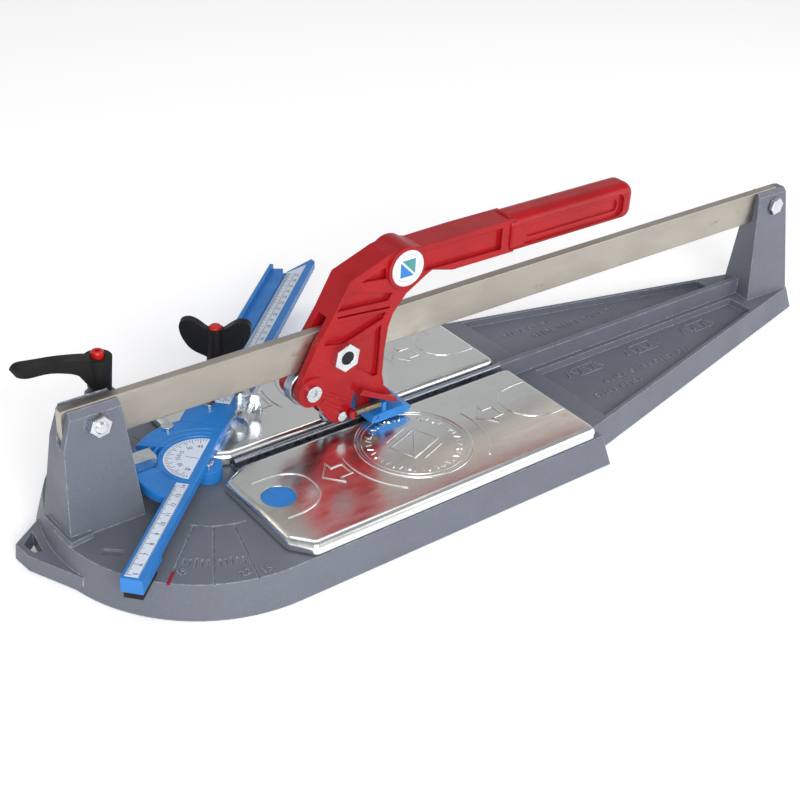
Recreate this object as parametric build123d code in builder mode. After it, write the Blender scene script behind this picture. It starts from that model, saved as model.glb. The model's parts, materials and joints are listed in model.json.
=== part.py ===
"""Manual tile cutter: cast base, guide bar, push handle with scoring wheel, sprung plates and swivel fence.

Frame: +X runs along the guide bar from the rounded front to the pointed rear, +Z is up, the bar's
mid-plane is y = 0 and the base's underside is z = 0.  All sizes are in millimetres.
"""
import os
from math import cos, radians, sin

from build123d import *

# ---------------------------------------------------------------- base casting
base_half_width = 112.0      # half width of the straight body, at the table
base_height = 23.2           # top of the deck
base_draft = 6.0             # how far the side walls lean in over their height
front_centre_x = -160.0      # centre of the rounded front
body_end_x = 106.8           # rear end of the straight body
tail_start_half = 96.3
tail_end_half = 24.0
tail_end_x = 418.8
tail_height = 19.0
tail_draft = 5.6
skin = 4.0                   # thickness of the casting's walls
rib_wall = 6.0               # webs left between the cavities below
tail_floor = 13.5            # floor of the two pockets on the tail
tail_rim = 3.4
tail_pocket_start = 127.0
tail_pocket_end = 352.0
spine_half = 2.5             # thin spine that carries the breaker rib's line to the rear post
spine_foot_half = 7.5
ear_height = 11.0
deck_groove = 0.8
foot_r = 7.0
foot_height = 2.5
foot_spots = ((-215, -60), (-215, 66), (85, -92), (85, 92), (340, 0))

# ---------------------------------------------------------------- guide bar and its posts
bar_bottom = 86.0
bar_height = 27.0
bar_thick = 7.0
bar_start = -258.7
bar_end = 391.0
near_post_top = 112.0
far_post_top = 110.8
cheek_break = 4.0            # height of the slope on the posts' near top edges
lever_pad_y = 8.5            # the lever's pad stands beyond this line
bar_seat_gap = 0.02
bar_mid_z = bar_bottom + bar_height / 2
rear_bolt_z = bar_mid_z
front_bolt_z = 101.5
front_bolt_x = -238.4
rear_bolt_x = 386.0
bolt_r = 4.0
bolt_hole_gap = 0.15
nut_across = 13.0
nut_height = 6.5
front_near_face = 8.4        # |y| of the bolt faces on the posts
front_far_face = 8.4
rear_face = 7.4
spot_face_r = 8.6
post_clear = 120.0           # above everything on the posts

# ---------------------------------------------------------------- sprung plates and breaker rib
plate_top = 32.5
plate_height = 8.0
plate_sheet = 1.6
plate_round = 5.0            # outside radius of the rolled rim
plate_front = -157.5
plate_rear = 95.8
plate_inner = 6.3
plate_outer = 106.0
plate_corner = 6.0
plate_stud_r = 2.5
stud_xs = (-106.0, 70.0)
stud_y = 56.0
spring_xs = (-120.0, 56.0)
spring_ys = (24.0, 84.0)
spring_seat_r = 8.0
spring_seat_z = 17.0
rib_top = 32.3
rib_half = 2.0
rib_start = -140.0
cap_radius = 11.5
cap_x = -137.7
cap_y = 51.0

# ---------------------------------------------------------------- swivel fence
pivot_x = -158.0
pivot_y = 3.0
fence_angle = 42.5           # direction of the fence, measured from +X
fence_top = 39.5
fence_bottom = plate_top + 0.5
arm_bottom = 29.0
disc_radius = 50.0
arm_edge = -1.1              # working edge of the fence, beside the pivot
arm_width = 13.9
arm_reach = 129.0
arm_step = 96.0              # the arm is deeper beyond this, past the plates
rule_reach = 303.0
rule_width = 32.8
rule_start = 38.0            # where the far rule butts against the disc
tongue_reach = 31.0
tongue_width = 22.0
tongue_height = 3.0
fence_screw_spots = ((60.7, 17.7), (26.1, 36.3))
knob_spot = (90.0, 21.1)
knob_stud_r = 3.0
bore_gap = 0.1
lip_start = 66.0
lip_wide = 3.0
lip_high = 4.5
screw_r = 2.0
label_thick = 0.3
pivot_pin_r = 4.0
running_gap = 0.05

# ---------------------------------------------------------------- push handle
roller_x = -85.8
roller_r = 13.0
roller_wide = 8.0
roller_gap = 0.3
roller_z = bar_bottom - roller_gap - roller_r
axle_r = 4.0
handle_half = 10.5
slot_half = 4.6
slot_roof = 122.5
upper_roller_r = 9.5
upper_roller_x = -40.0
upper_roller_z = bar_bottom + bar_height + roller_gap + upper_roller_r
wheel_x = -61.0
wheel_r = 11.0
wheel_z = 45.6
wheel_pin_r = 2.5
hub_x = -11.0
hub_z = 146.0
hub_r = 15.5
grip_start = 80.0
grip_end = 205.0
grip_z = 145.6
grip_height = 29.0
grip_thick = 25.0
grip_corner = 9.0
neck_top = 158.5
neck_bottom = 133.0
shelf_half = 16.5            # the casting widens to this above the breaker foot
pocket_deep = 3.2
bush_x = -60.3
bush_z = 93.3
bush_r = 7.0
pad_r = 5.0

# ---------------------------------------------------------------- breaker foot under the handle
foot_bottom = 34.4
foot_half = 18.0
foot_pin_x = -35.0
foot_pin_z = 38.6
foot_pin_r = 1.5
lug_half = 3.2
spring_y = -14.0
spring_z = 46.5
spring_start = -51.4         # just clear of the stub on the casting
spring_length = 20.7
spring_wire = 0.4

# ---------------------------------------------------------------- clamping lever
lever_x = -222.4
lever_y = 19.0
lever_seat_z = 102.5
lever_stud_r = 4.0
shoe_bottom = fence_top + 0.4
shoe_start = -232.0
shoe_end = -189.5
shoe_y = 18.2
shoe_wide = 12.0

os.makedirs("parts", exist_ok=True)


def save(part, name):
    """Label a finished piece and write it as its own STEP file."""
    part.label = name
    export_step(part, f"parts/{name}.step")
    print(f"{name:24s} solids {len(part.solids()):2d}  volume {part.volume:12.1f}")


def tail_half(x):
    """Half width of the tail at the table, at station x."""
    share = (x - body_end_x) / (tail_end_x - body_end_x)
    return tail_start_half + (tail_end_half - tail_start_half) * share


# ================================================================ base casting
def body_outline(inset):
    """Draw the straight body with its rounded front, drawn in by inset."""
    half = base_half_width - inset
    with BuildLine() as outline:
        ThreePointArc((front_centre_x, -half), (front_centre_x - half, 0), (front_centre_x, half))
        Polyline((front_centre_x, half), (body_end_x - inset, half),
                 (body_end_x - inset, -half), (front_centre_x, -half))
    make_face(outline.edges())


def tail_outline(start, end, trim):
    """Draw the tapering tail between two stations, drawn in by trim at its sides."""
    Polygon((start, tail_half(start) - trim), (end, tail_half(end) - trim),
            (end, -tail_half(end) + trim), (start, -tail_half(start) + trim), align=None)


def half_cavity(start, end, side, height):
    """Draw one side of the tail's underside hollow."""
    inner = rib_wall / 2
    points = [(start, side * inner), (end, side * inner),
              (end, side * (tail_half(end) - skin - 2)), (start, side * (tail_half(start) - skin - 2))]
    with BuildSketch(Plane.XY) as outline:
        Polygon(*points, align=None)
    extrude(outline.sketch, amount=height, mode=Mode.SUBTRACT)


def protractor_grooves(side):
    """Draw the engraved angle sector on one side of the front deck."""
    inner = 48.0
    outer = 107.0
    groove = 1.1
    first = 222.0
    sweep = 42.0
    ticks = 12
    with BuildSketch(Plane.XY.offset(base_height - deck_groove)) as grooves:
        for radius in (inner, outer):
            arc = CenterArc((pivot_x, side * -pivot_y), radius, side * first, side * sweep,
                            mode=Mode.PRIVATE)
            SlotArc(arc, groove)
        for angle in (225.0, 240.0, 255.0):
            middle = (inner + outer) / 2
            spot = PolarLocations(middle, 1, side * angle, 360).locations[0]
            x = pivot_x + spot.position.X
            y = side * -pivot_y + spot.position.Y
            with Locations(Location((x, y), side * angle)):
                Rectangle(outer - inner, groove)
        for step in range(1, ticks):
            angle = 225.0 + step * 30.0 / ticks
            if step % 6:
                reach = 84.0
                length = 6.0 if step % 3 else 9.0
                x = pivot_x + reach * cos(radians(side * angle))
                y = side * -pivot_y + reach * sin(radians(side * angle))
                with Locations(Location((x, y), side * angle)):
                    Rectangle(length, groove)
    extrude(grooves.sketch, amount=deck_groove + 0.01, mode=Mode.SUBTRACT)


with BuildPart() as base_casting:
    with BuildSketch(Plane.XY):
        body_outline(0)
    with BuildSketch(Plane.XY.offset(base_height)):
        body_outline(base_draft)
    loft()
    with BuildSketch(Plane.XY):
        tail_outline(body_end_x - 14, tail_end_x, 0)
    with BuildSketch(Plane.XY.offset(tail_height)):
        tail_outline(body_end_x - 14, tail_end_x - tail_draft, tail_draft)
    loft()
    # hanging ear with its triangular hole
    with BuildSketch(Plane.XY):
        Polygon((-262, 40), (-270, 34), (-286.4, 22), (-284.5, 6), (-271, -22), (-266.5, -32), (-250, -32),
                align=None)
    extrude(amount=ear_height, taper=4)
    with BuildSketch(Plane.XY):
        Polygon((-271.6, 28), (-281.8, 18.5), (-279.6, 8), (-274.6, 6), align=None)
    extrude(amount=ear_height + 1, mode=Mode.SUBTRACT)
    # spine along the tail, with its wider foot
    with BuildSketch(Plane.XY):
        with Locations(((94 + 372) / 2, 0)):
            Rectangle(372 - 94, 2 * spine_half)
    extrude(amount=rib_top)
    # two pockets on the tail
    for side in (-1, 1):
        with BuildSketch(Plane.XY.offset(tail_floor)):
            edge = tail_draft + tail_rim
            Polygon((tail_pocket_start, side * spine_foot_half),
                    (tail_pocket_end, side * spine_foot_half),
                    (tail_pocket_end, side * (tail_half(tail_pocket_end) - edge)),
                    (tail_pocket_start, side * (tail_half(tail_pocket_start) - edge)), align=None)
        extrude(amount=base_height, taper=-4, mode=Mode.SUBTRACT)
    # front post, wide at the foot on its far side, where the clamping lever stands
    with BuildSketch(Plane.XY.offset(base_height - 3)):
        Polygon((-262, -9.4), (-210.5, -9.4), (-210.5, 30), (-250, 34), (-264, 26), align=None)
    with BuildSketch(Plane.XY.offset(near_post_top)):
        Polygon((-260.3, -8.5), (-222.4, -8.5), (-222.4, 8.5), (-256, 8.5), (-259, 7.5), align=None)
    loft()
    with BuildSketch(Plane.XY.offset(base_height - 3)):
        Polygon((-266.5, 20), (-264.8, -15.6), (-248, -13.5), (-247.5, 20), align=None)
    extrude(amount=6, taper=6)
    with BuildSketch(Plane.XY.offset(base_height - 3)):
        with Locations((lever_x, lever_y)):
            Circle(11.5)
    extrude(amount=lever_seat_z - base_height + 3, taper=1)
    # rear post, spread over the end of the tail
    with BuildSketch(Plane.XY.offset(tail_height - 9)):
        Polygon((362.5, -19), (413.5, -20.5), (413.5, 18), (369, 16), align=None)
    with BuildSketch(Plane.XY.offset(near_post_top)):
        Polygon((366.4, -7.2), (400, -7.2), (400, 6.0), (368.6, 6.0), align=None)
    loft()
    # seats for the guide bar
    seat = bar_thick / 2 + bar_seat_gap
    for start, end in ((bar_start - bar_seat_gap, -195), (340, bar_end + bar_seat_gap)):
        with BuildSketch(Plane.YZ.offset(start)):
            Polygon((-seat, bar_bottom), (seat, bar_bottom), (seat, post_clear), (-seat, post_clear),
                    align=None)
        extrude(amount=end - start, mode=Mode.SUBTRACT)
        # sloped near edge and lower far cheek
        with BuildSketch(Plane.YZ.offset(start)):
            Polygon((-10, near_post_top - cheek_break - 1.5), (-seat - 1.2, near_post_top),
                    (-seat - 1.2, post_clear), (-10, post_clear), align=None)
            Polygon((seat, far_post_top), (lever_pad_y, far_post_top), (lever_pad_y, post_clear),
                    (seat, post_clear), align=None)
        extrude(amount=end - start + 20, mode=Mode.SUBTRACT)
    # front wall with a sloping lip below the bar's end, and cheeks that lean back above it
    with BuildSketch(Plane.YZ.offset(bar_start + bar_seat_gap)):
        Polygon((-seat, bar_bottom), (seat, bar_bottom + 6), (seat, post_clear), (-seat, post_clear),
                align=None)
    extrude(amount=-10, mode=Mode.SUBTRACT)
    with BuildSketch(Plane.XZ):
        Polygon((-265, 88.5), (-260.7, 88.5), (-254.6, near_post_top), (-254.6, post_clear),
                (-265, post_clear), align=None)
    extrude(amount=20, both=True, mode=Mode.SUBTRACT)
    # bolt holes and their spot faces
    for x, z, near_face, far_face in ((front_bolt_x, front_bolt_z, front_near_face, front_far_face),
                                      (rear_bolt_x, rear_bolt_z, rear_face, rear_face)):
        with Locations(Location((x, 0, z), (90, 0, 0))):
            Cylinder(bolt_r + bolt_hole_gap, 90, mode=Mode.SUBTRACT)
        for y in (-near_face - 10, far_face + 10):
            with Locations(Location((x, y, z), (90, 0, 0))):
                Cylinder(spot_face_r, 20, mode=Mode.SUBTRACT)
    # bore for the lever's stud and a gap for the clamp shoe
    with Locations((lever_x, lever_y, lever_seat_z)):
        Cylinder(lever_stud_r + 0.1, 58, align=(Align.CENTER, Align.CENTER, Align.MAX), mode=Mode.SUBTRACT)
    with Locations((-221, lever_y, shoe_bottom)):
        Box(70, 17, 9.6, align=(Align.CENTER, Align.CENTER, Align.MIN), mode=Mode.SUBTRACT)
    # hollows underneath, with webs between them
    with BuildSketch(Plane.XY):
        with BuildLine():
            half = base_half_width - base_draft - skin
            web_x = front_centre_x - rib_wall
            ThreePointArc((web_x, -half), (web_x - half + 2, 0), (web_x, half))
            Line((web_x, half), (web_x, -half))
        make_face()
        with Locations((-252, 8)):
            Rectangle(60, 60, mode=Mode.SUBTRACT)
        with Locations((pivot_x - 20, 0)):
            Rectangle(44, 26, mode=Mode.SUBTRACT)
    extrude(amount=base_height - skin, mode=Mode.SUBTRACT)
    for side in (-1, 1):
        for start, end in ((front_centre_x, -80), (-80 + rib_wall, 4),
                           (4 + rib_wall, body_end_x - base_draft - skin)):
            with BuildSketch(Plane.XY):
                width = base_half_width - base_draft - skin - rib_wall
                with Locations(((start + end) / 2, side * (rib_wall + width / 2))):
                    Rectangle(end - start, width)
            extrude(amount=spring_seat_z - skin, mode=Mode.SUBTRACT)
        half_cavity(body_end_x + 4, 210, side, tail_floor - skin)
        half_cavity(210 + rib_wall, 330, side, tail_floor - skin)
    # spring seats and stud holes under the two plates
    for side in (-1, 1):
        with Locations(*[(x, side * y, base_height + 0.01) for x in spring_xs for y in spring_ys]):
            Cylinder(spring_seat_r, base_height - spring_seat_z,
                     align=(Align.CENTER, Align.CENTER, Align.MAX), mode=Mode.SUBTRACT)
        with Locations(*[(x, side * stud_y, base_height + 1) for x in stud_xs]):
            Cylinder(plate_stud_r + 0.3, 30, align=(Align.CENTER, Align.CENTER, Align.MAX),
                     mode=Mode.SUBTRACT)
        protractor_grooves(side)
    # bore that the fence's pivot pin is pressed into
    with Locations((pivot_x, pivot_y, base_height + 1)):
        Cylinder(pivot_pin_r, 17, align=(Align.CENTER, Align.CENTER, Align.MAX), mode=Mode.SUBTRACT)
    # seat for the breaker rib, ending under the spine
    with BuildSketch(Plane.XY.offset(base_height - 1)):
        with Locations(((rib_start + 94) / 2, 0)):
            Rectangle(94 - rib_start, 2 * rib_half + 4)
    extrude(amount=4)
    with Locations(((rib_start + 94) / 2, 0, base_height + 3)):
        Box(94 - rib_start + 0.02, 2 * rib_half, 5, align=(Align.CENTER, Align.CENTER, Align.MAX),
            mode=Mode.SUBTRACT)
    # small relief beside the post and a slot in the front wall
    with Locations(Location((-246, -33, base_height), (0, 0, -42))):
        Box(13, 6, 3, mode=Mode.SUBTRACT)
    # sockets for the rubber feet
    with Locations(*foot_spots[:-1]):
        Cylinder(foot_r + 2, base_height - 3, align=(Align.CENTER, Align.CENTER, Align.MIN))
    with Locations(foot_spots[-1]):
        Cylinder(foot_r + 2, tail_floor - 1, align=(Align.CENTER, Align.CENTER, Align.MIN))
    with Locations(*foot_spots):
        Cylinder(foot_r, foot_height, align=(Align.CENTER, Align.CENTER, Align.MIN), mode=Mode.SUBTRACT)
save(base_casting.part, "base_casting")

with BuildPart() as rubber_feet:
    with Locations(*foot_spots):
        Cylinder(foot_r, foot_height, align=(Align.CENTER, Align.CENTER, Align.MIN))
save(rubber_feet.part, "rubber_feet")

# ================================================================ guide bar and its bolts
with BuildPart() as guide_bar:
    with Locations(((bar_start + bar_end) / 2, 0, bar_mid_z)):
        Box(bar_end - bar_start, bar_thick, bar_height)
    fillet(guide_bar.edges().filter_by(Axis.X), 0.7)
    for x, z in ((front_bolt_x, front_bolt_z), (rear_bolt_x, rear_bolt_z)):
        with Locations(Location((x, 0, z), (90, 0, 0))):
            Cylinder(bolt_r + bolt_hole_gap, 20, mode=Mode.SUBTRACT)
save(guide_bar.part, "guide_bar")


def bar_bolt(name, x, z, head_y, end_y):
    """Hex bolt along Y, with its head at head_y and its shank running to end_y."""
    out = 1 if head_y > end_y else -1
    with BuildPart() as bolt:
        with BuildSketch(Plane(origin=(x, head_y, z), x_dir=(1, 0, 0), z_dir=(0, out, 0))):
            RegularPolygon(nut_across / 2, 6, major_radius=False, rotation=12)
        extrude(amount=5.5)
        chamfer(bolt.faces().sort_by(Axis.Y)[-1 if out > 0 else 0].edges(), 0.5)
        with BuildSketch(Plane(origin=(x, head_y, z), x_dir=(1, 0, 0), z_dir=(0, -out, 0))):
            Circle(bolt_r)
        extrude(amount=abs(head_y - end_y))
        chamfer(bolt.faces().sort_by(Axis.Y)[0 if out > 0 else -1].edges(), 0.8)
    save(bolt.part, name)


def bar_nut(name, x, z, seat_y):
    """Hex nut on a bar bolt, standing off the post at seat_y."""
    out = 1 if seat_y > 0 else -1
    with BuildPart() as nut:
        with BuildSketch(Plane(origin=(x, seat_y, z), x_dir=(1, 0, 0), z_dir=(0, out, 0))):
            RegularPolygon(nut_across / 2, 6, major_radius=False, rotation=12)
            Circle(bolt_r, mode=Mode.SUBTRACT)
        extrude(amount=nut_height)
        edges = nut.faces().sort_by(Axis.Y)[-1 if out > 0 else 0].edges().filter_by(GeomType.LINE)
        chamfer(edges, 0.5)
    save(nut.part, name)


bar_bolt("front_bar_bolt", front_bolt_x, front_bolt_z, front_far_face, -front_near_face - 8)
bar_nut("front_bar_nut", front_bolt_x, front_bolt_z, -front_near_face)
bar_bolt("rear_bar_bolt", rear_bolt_x, rear_bolt_z, -rear_face, rear_face + 8)
bar_nut("rear_bar_nut", rear_bolt_x, rear_bolt_z, rear_face)

# ================================================================ breaker rib
with BuildPart() as breaker_rib:
    with Locations(((rib_start + 94) / 2, 0, base_height - 2)):
        Box(94 - rib_start, 2 * rib_half, rib_top - base_height + 2,
            align=(Align.CENTER, Align.CENTER, Align.MIN))
    top_edges = breaker_rib.faces().sort_by(Axis.Z)[-1].edges().filter_by(Axis.X)
    fillet(top_edges, 1.6)
save(breaker_rib.part, "breaker_rib")


# ================================================================ sprung plates
def plate_outline(side, inset):
    """Draw one plate's outline with its two clipped front corners, drawn in by inset."""
    front = plate_front + inset
    rear = plate_rear - inset
    inner = plate_inner + inset
    outer = plate_outer - inset
    Polygon((front + 19, side * inner), (rear, side * inner), (rear, side * outer),
            (front + 12.5, side * outer), (front, side * (outer - 15)), (front, side * (inner + 10)),
            align=None)


def coil(x, y, low, high, radius, wire, turns):
    """One coil spring standing on low and reaching high."""
    pitch = (high - low - 2 * wire) / turns
    with BuildPart() as spring:
        with BuildLine(Plane.XY.offset(low + wire)) as path:
            Helix(pitch, high - low - 2 * wire, radius)
        with BuildSketch(Plane(origin=path.wire() @ 0, z_dir=path.wire() % 0)):
            Circle(wire)
        sweep(is_frenet=True)
    return spring.part.moved(Location((x, y, 0)))


def plate_set(side, word):
    """A pressed plate with its studs, retaining nuts, springs and thumb cap."""
    bottom = plate_top - plate_height
    with BuildPart() as plate:
        with BuildSketch(Plane.XY.offset(bottom)):
            plate_outline(side, 0)
            fillet(vertices(), plate_corner)
        extrude(amount=plate_height)
        fillet(plate.faces().sort_by(Axis.Z)[-1].edges(), plate_round)
        # hollow below, stepping in under the rolled rim
        for inset, depth in ((plate_sheet, plate_height - plate_round),
                             (plate_round - 1.5, plate_height - plate_sheet)):
            with BuildSketch(Plane.XY.offset(bottom)):
                plate_outline(side, inset)
                fillet(vertices(), plate_corner - 1)
            extrude(amount=depth, mode=Mode.SUBTRACT)
        with Locations((cap_x, side * cap_y, plate_top)):
            Cylinder(cap_radius, 4, mode=Mode.SUBTRACT)
    save(plate.part, f"{word}_plate")

    with BuildPart() as studs:
        with Locations(*[(x, side * stud_y, plate_top - plate_sheet) for x in stud_xs]):
            Cylinder(plate_stud_r, 22, align=(Align.CENTER, Align.CENTER, Align.MAX))
    save(studs.part, f"{word}_plate_studs")

    with BuildPart() as nuts:
        for x in stud_xs:
            with BuildSketch(Plane.XY.offset(spring_seat_z - skin - 4.2)):
                with Locations((x, side * stud_y)):
                    RegularPolygon(4, 6, major_radius=False)
                    Circle(plate_stud_r, mode=Mode.SUBTRACT)
            extrude(amount=4)
    save(nuts.part, f"{word}_plate_nuts")

    springs = [coil(x, side * y, spring_seat_z, plate_top - plate_sheet, 6.0, 0.7, 3.5)
               for x in spring_xs for y in spring_ys]
    save(Compound(children=springs), f"{word}_plate_springs")

    with BuildPart() as cap:
        with Locations((cap_x, side * cap_y, plate_top - 0.3)):
            Cylinder(cap_radius - 0.1, 2.5, align=(Align.CENTER, Align.CENTER, Align.MAX))
        with Locations((cap_x, side * cap_y, plate_top - plate_sheet)):
            Cylinder(cap_radius + 2, 1.4, align=(Align.CENTER, Align.CENTER, Align.MAX))
        chamfer(cap.faces().sort_by(Axis.Z)[-1].edges(), 0.3)
    save(cap.part, f"{word}_plate_cap")


plate_set(-1, "near")
plate_set(1, "far")

# ================================================================ swivel fence
fence_dir = (cos(radians(fence_angle)), sin(radians(fence_angle)), 0)
fence_plane = Plane(origin=(pivot_x, pivot_y, 0), x_dir=fence_dir, z_dir=(0, 0, 1))


def on_fence(z):
    """Horizontal plane at height z, with its x axis along the fence and its origin at the pivot."""
    return fence_plane.offset(z)


with BuildPart() as protractor:
    with BuildSketch(on_fence(fence_bottom)):
        Circle(disc_radius)
        with Locations((0, arm_edge)):
            Rectangle(3 * disc_radius, 2 * disc_radius, align=(Align.CENTER, Align.MAX), mode=Mode.SUBTRACT)
        with Locations((0, arm_edge)):
            Rectangle(rule_start, 20, align=(Align.MIN, Align.MIN))
            Rectangle(arm_reach / 2, arm_width, align=(Align.MAX, Align.MIN))
        with Locations((rule_start, arm_edge)):
            Rectangle(disc_radius, disc_radius, align=(Align.MIN, Align.MIN), mode=Mode.SUBTRACT)
    extrude(amount=fence_top - fence_bottom)
    fillet(protractor.faces().sort_by(Axis.Z)[-1].edges(), 1.2)
    with BuildSketch(on_fence(arm_bottom)):
        with Locations((-arm_reach, arm_edge)):
            Rectangle(arm_reach - arm_step, arm_width, align=(Align.MIN, Align.MIN))
    extrude(amount=fence_top - arm_bottom)
    with BuildSketch(on_fence(fence_bottom)):
        with Locations((-arm_reach, arm_edge)):
            Rectangle(arm_reach - disc_radius + 5, arm_width, align=(Align.MIN, Align.MIN))
    extrude(amount=fence_top - fence_bottom)
    # hub under the disc, running on the deck
    with BuildSketch(on_fence(base_height + 0.4)):
        Circle(9.5)
    extrude(amount=fence_bottom - base_height)
    with BuildSketch(on_fence(base_height)):
        Circle(pivot_pin_r + running_gap)
    extrude(amount=fence_top - 3 - base_height, mode=Mode.SUBTRACT)
    # ledge in the rim under the clamp shoe
    with BuildSketch(on_fence(fence_top - 3)):
        with Locations(Location((-9, 41), 8)):
            Rectangle(24, 22)
    extrude(amount=5, mode=Mode.SUBTRACT)
    # tongue that the far rule is screwed to
    with BuildSketch(on_fence(fence_bottom)):
        with Locations((rule_start - 6, arm_edge + 2)):
            Rectangle(tongue_reach + 6, tongue_width, align=(Align.MIN, Align.MIN))
    extrude(amount=tongue_height)
    for u, v in fence_screw_spots:
        with BuildSketch(on_fence(fence_bottom)):
            with Locations((u, v)):
                Circle(screw_r)
        extrude(amount=20, mode=Mode.SUBTRACT)
save(protractor.part, "protractor_body")

with BuildPart() as far_rule:
    with BuildSketch(on_fence(fence_bottom)):
        Polygon((rule_start, arm_edge), (rule_reach - 4, arm_edge), (rule_reach, arm_edge + 4),
                (rule_reach - 33, arm_edge + 20), (rule_reach - 24, arm_edge + 22.5),
                (rule_reach - 27, arm_edge + rule_width), (rule_start, arm_edge + rule_width), align=None)
    extrude(amount=fence_top - fence_bottom)
    with BuildSketch(on_fence(fence_bottom)):
        with Locations((rule_start, arm_edge + 2)):
            Rectangle(tongue_reach + 0.2, tongue_width, align=(Align.MIN, Align.MIN))
    extrude(amount=tongue_height, mode=Mode.SUBTRACT)
    # channel below, which keeps the rule light
    with BuildSketch(on_fence(fence_bottom)):
        with Locations((112, arm_edge + 2.5)):
            Rectangle(150, 13, align=(Align.MIN, Align.MIN))
            with Locations((0, 15)):
                Rectangle(150, 13, align=(Align.MIN, Align.MIN))
    extrude(amount=fence_top - fence_bottom - 3, mode=Mode.SUBTRACT)
    # raised lip and the groove between it and the scale
    with BuildSketch(on_fence(fence_top)):
        with Locations((lip_start, arm_edge + rule_width)):
            Rectangle(rule_reach - 27 - lip_start, lip_wide, align=(Align.MIN, Align.MAX))
    extrude(amount=lip_high)
    with BuildSketch(on_fence(fence_top - 0.8)):
        with Locations((75, arm_edge + 17.6)):
            Rectangle(rule_reach, 1.2, align=(Align.MIN, Align.MIN))
    extrude(amount=2, mode=Mode.SUBTRACT)
    # bore for the wing knob's stud
    with BuildSketch(on_fence(fence_bottom)):
        with Locations(knob_spot):
            Circle(knob_stud_r + bore_gap)
    extrude(amount=20, mode=Mode.SUBTRACT)
    with BuildSketch(on_fence(fence_bottom)):
        with Locations(fence_screw_spots[0]):
            Circle(screw_r)
    extrude(amount=20, mode=Mode.SUBTRACT)
save(far_rule.part, "far_rule")


def fence_label(name, draw):
    """Thin printed scale lying on the fence."""
    with BuildPart() as label:
        with BuildSketch(on_fence(fence_top)):
            draw()
        extrude(amount=label_thick)
    save(label.part, name)


def near_scale():
    with Locations((-79.5, arm_edge + 7.7)):
        Rectangle(95, 8.6)


def far_scale():
    Polygon((66, 4.4), (rule_reach - 12, 4.4), (rule_reach - 30, 15.8), (66, 15.8), align=None)


def angle_scale():
    with BuildLine() as outline:
        RadiusArc((-26.6, 4.7), (20.6, 4.7), 23.6)
        Line((20.6, 4.7), (-26.6, 4.7))
    make_face(outline.edges())


fence_label("near_scale", near_scale)
fence_label("far_scale", far_scale)
fence_label("angle_scale", angle_scale)

with BuildPart() as fence_pad:
    with BuildSketch(on_fence(base_height + 0.6)):
        with Locations((-arm_reach + 1.5, arm_edge + 1)):
            Rectangle(24.5, arm_width - 2, align=(Align.MIN, Align.MIN))
    extrude(amount=arm_bottom - base_height - 0.6)
save(fence_pad.part, "fence_pad")

with BuildPart() as pivot_pin:
    with Locations((pivot_x, pivot_y, base_height - 16)):
        Cylinder(pivot_pin_r, fence_top - 3.5 - base_height + 16,
                 align=(Align.CENTER, Align.CENTER, Align.MIN))
    chamfer(pivot_pin.faces().sort_by(Axis.Z)[-1].edges(), 0.6)
save(pivot_pin.part, "fence_pivot_pin")


def pan_screw(u, v, seat, head_r, length):
    """Screw standing on the fence at (u, v), head above seat."""
    with BuildSketch(on_fence(seat)) as head:
        with Locations((u, v)):
            Circle(head_r)
    extrude(head.sketch, amount=2.6)
    with BuildSketch(on_fence(seat - length)) as shank:
        with Locations((u, v)):
            Circle(screw_r)
    extrude(shank.sketch, amount=length)


with BuildPart() as fence_screws:
    for u, v in fence_screw_spots:
        pan_screw(u, v, fence_top, 4.3, 5.5)
save(fence_screws.part, "fence_screws")

# ---------------------------------------------------------------- side stop with its thumbscrew
stop_v = -11.4
stop_z = 44.0
with BuildPart() as stop_bracket:
    with BuildSketch(on_fence(fence_bottom)):
        with Locations((60, arm_edge - 2.2)):
            Rectangle(30, 2.2, align=(Align.MIN, Align.MIN))
    extrude(amount=stop_z + 7 - fence_bottom)
    with BuildSketch(on_fence(fence_bottom + 3)):
        with Locations((64, stop_v - 7)):
            Rectangle(2.5, -stop_v + 7 + arm_edge, align=(Align.MIN, Align.MIN))
    extrude(amount=stop_z + 7 - fence_bottom - 3)
    with BuildSketch(Plane(origin=(fence_plane.from_local_coords((60, stop_v, stop_z))),
                           x_dir=(0, 0, 1), z_dir=fence_dir)):
        Circle(2.5 + running_gap)
    extrude(amount=10, mode=Mode.SUBTRACT)
save(stop_bracket.part, "stop_bracket")

screw_plane = Plane(origin=fence_plane.from_local_coords((0, stop_v, stop_z)), x_dir=(0, 0, 1),
                    z_dir=fence_dir)
with BuildPart() as stop_nut:
    with BuildSketch(screw_plane.offset(59.8)):
        RegularPolygon(4.5, 6, major_radius=False)
        Circle(2.5 + running_gap, mode=Mode.SUBTRACT)
    extrude(amount=4.2)
save(stop_nut.part, "stop_nut")

with BuildPart() as thumbscrew:
    with BuildSketch(screw_plane.offset(36)):
        Circle(6.4)
        with PolarLocations(6.5, 24):
            Circle(0.35, mode=Mode.SUBTRACT)
    extrude(amount=7.5)
    with BuildSketch(screw_plane.offset(43.5)):
        Circle(4.2)
    extrude(amount=2.5)
    with BuildSketch(screw_plane.offset(46)):
        Circle(2.5)
    extrude(amount=38)
save(thumbscrew.part, "thumbscrew")

# ---------------------------------------------------------------- wing knob
wing_heading = -37.9         # the wings lie along this direction
wing_thick = 6.6
knob_base = 50.0
knob_height = 35.0
cap_r = 4.6


def at_knob(z):
    """Horizontal plane at height z with its origin on the wing knob's axis."""
    return Plane(origin=fence_plane.from_local_coords((*knob_spot, z)), z_dir=(0, 0, 1))


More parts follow.
